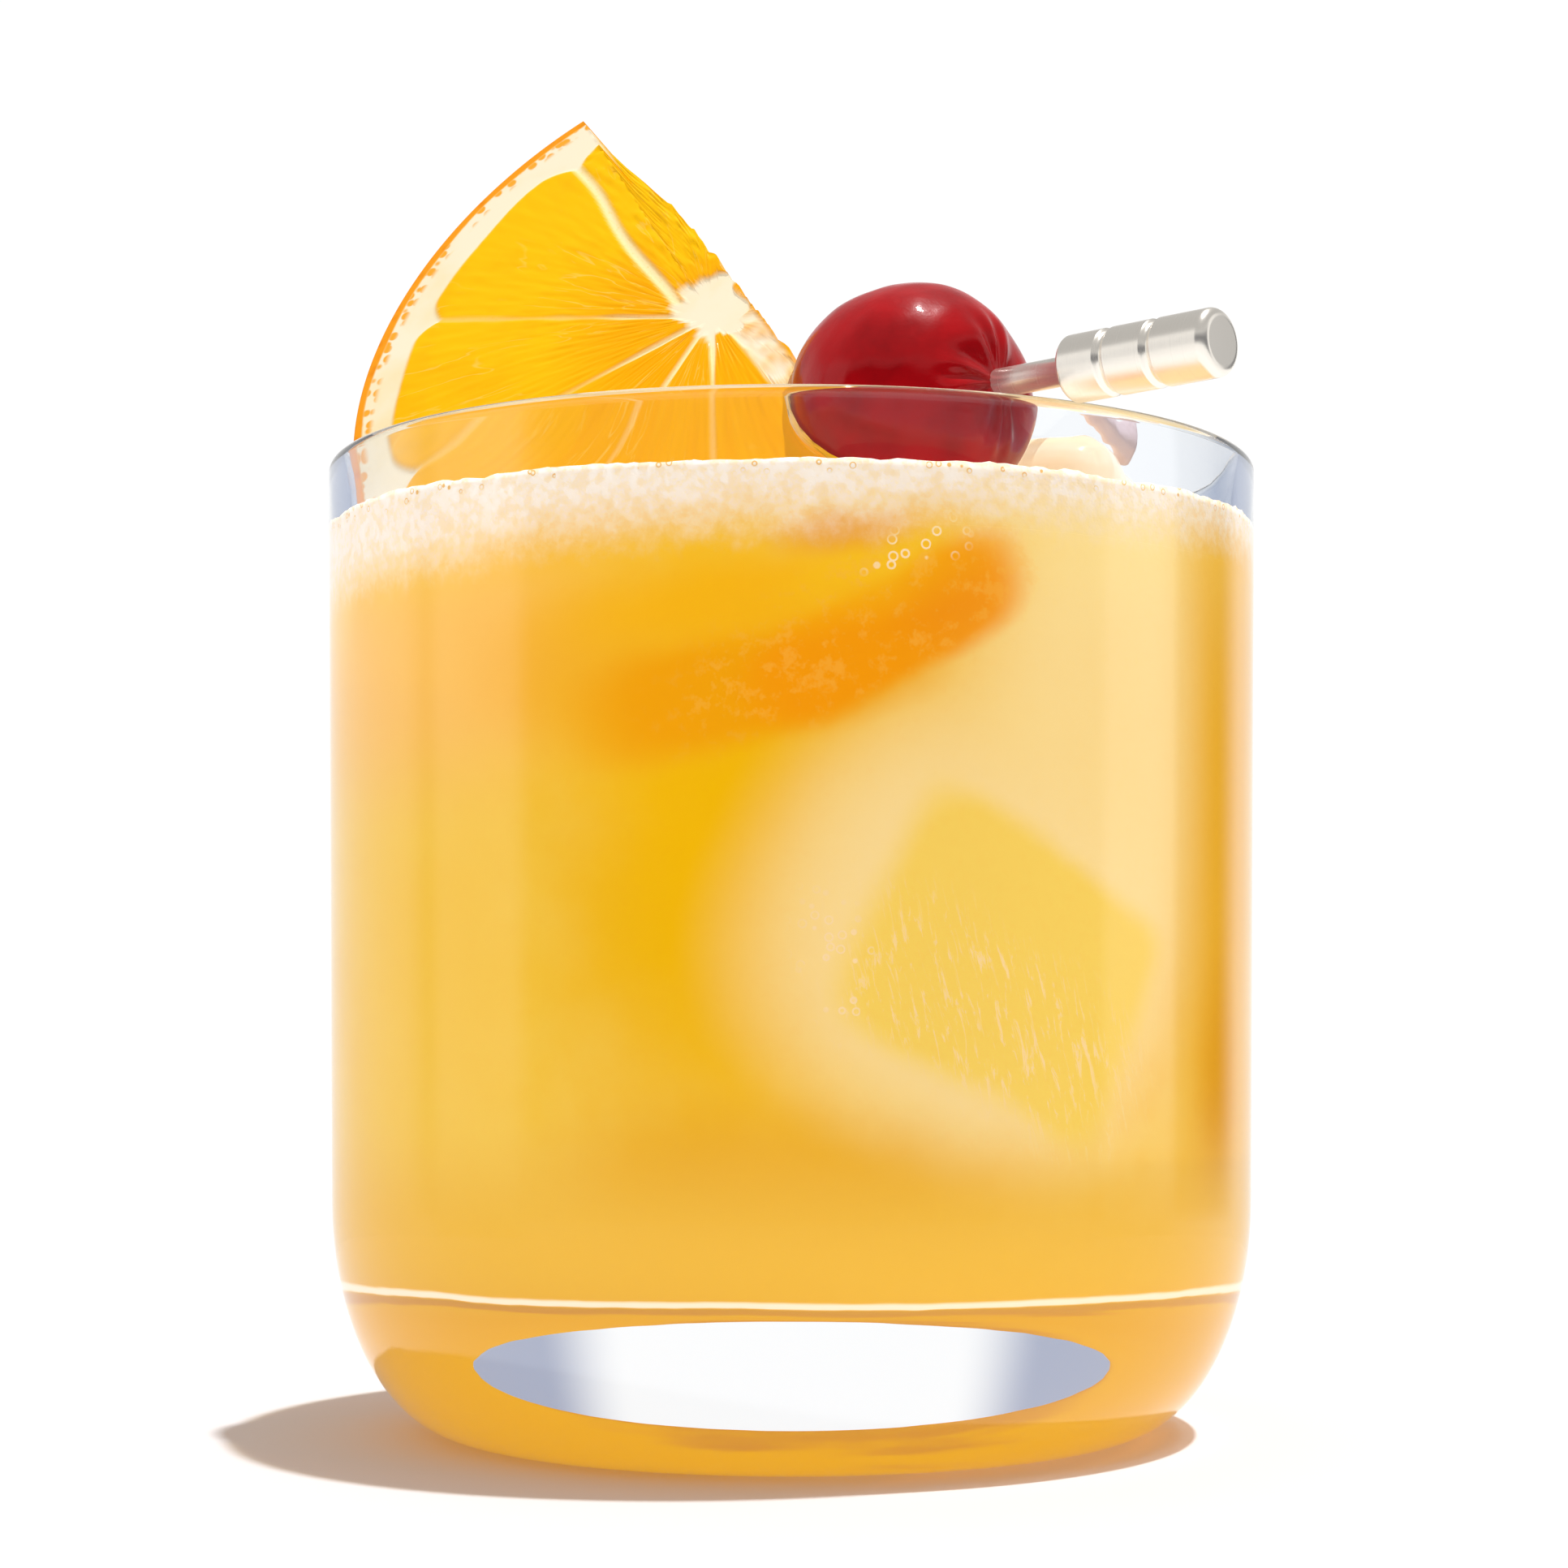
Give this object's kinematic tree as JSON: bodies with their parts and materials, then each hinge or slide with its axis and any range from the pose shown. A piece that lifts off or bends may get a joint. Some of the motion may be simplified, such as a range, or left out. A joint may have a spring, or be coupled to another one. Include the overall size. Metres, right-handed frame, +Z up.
{
  "type": "whiskey sour punch",
  "caption": "Cloudy golden whiskey sour in a rounded rocks glass, with foam, ice, an orange half wheel and a cherry on a steel pick.",
  "frame": {"origin": "centre of the glass's flat underside", "axes": "+Z up along the glass's axis, -Y towards the viewer, +X to the viewer's right"},
  "size_m": [0.087, 0.0921, 0.1261],
  "materials": {
    "clear_glass": "clear polished glass",
    "cloudy_sour": "cloudy golden drink",
    "foam_head": "fine cream-coloured foam",
    "ice": "wet ice",
    "orange_flesh": "wet orange flesh with pale pith and orange peel",
    "cherry_skin": "glossy red cherry",
    "cherry_stalk": "dyed pale red stem",
    "pick_steel": "turned and brushed steel"
  },
  "bodies": {
    "root": {"glass": "clear_glass", "drink": "cloudy_sour", "foam": "foam_head", "ice_cube": "ice", "orange_half_wheel": "orange_flesh", "cherry": "cherry_skin", "cherry_stem": "cherry_stalk", "pick": "pick_steel"}
  },
  "joints": []
}
